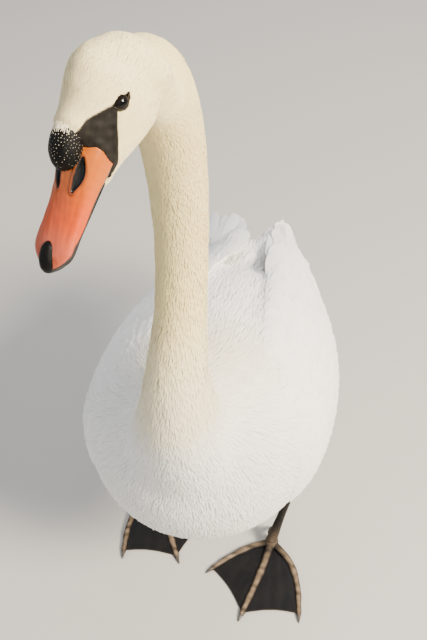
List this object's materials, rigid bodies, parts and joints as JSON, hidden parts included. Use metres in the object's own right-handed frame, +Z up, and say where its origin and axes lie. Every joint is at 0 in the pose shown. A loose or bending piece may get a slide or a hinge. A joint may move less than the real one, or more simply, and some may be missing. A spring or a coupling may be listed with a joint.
{
  "type": "mute swan",
  "caption": "Still life-size mute swan standing in mid-stride, neck upright and head turned and lowered, wings folded, orange bill with a black knob, webbed feet flat on the floor.",
  "frame": {"origin": "on the floor under the middle of the bounding box", "axes": "+Z up, -Y the way the swan walks, +X its left side"},
  "size_m": [0.3146, 0.8148, 0.9376],
  "materials": {
    "body_plumage": "soft, matt, short overlapping feathers",
    "flight_feathers": "smooth, matt, long vanes with pale shafts",
    "orange_bill": "satin horn, orange at the base to coral at the tip",
    "black_bill_skin": "satin, finely grained",
    "eyeball": "wet gloss",
    "leg_skin": "matt scaled skin",
    "claw_horn": "satin horn"
  },
  "bodies": {
    "root": {"trunk": "body_plumage", "neck_lower": "body_plumage", "neck_middle": "body_plumage", "neck_upper": "body_plumage", "head": "body_plumage", "bill_upper": "orange_bill", "bill_lower": "black_bill_skin", "bill_knob": "black_bill_skin", "bill_nail": "black_bill_skin", "eye_left": "eyeball", "eye_right": "eyeball", "tail": "flight_feathers", "wing_left": "flight_feathers", "primaries_left": "flight_feathers", "thigh_left": "body_plumage", "shank_left": "leg_skin", "foot_left": "leg_skin", "claw_left_inner": "claw_horn", "claw_left_middle": "claw_horn", "claw_left_outer": "claw_horn", "hind_toe_left": "leg_skin", "wing_right": "flight_feathers", "primaries_right": "flight_feathers", "thigh_right": "body_plumage", "shank_right": "leg_skin", "foot_right": "leg_skin", "claw_right_inner": "claw_horn", "claw_right_middle": "claw_horn", "claw_right_outer": "claw_horn", "hind_toe_right": "leg_skin"}
  },
  "joints": []
}
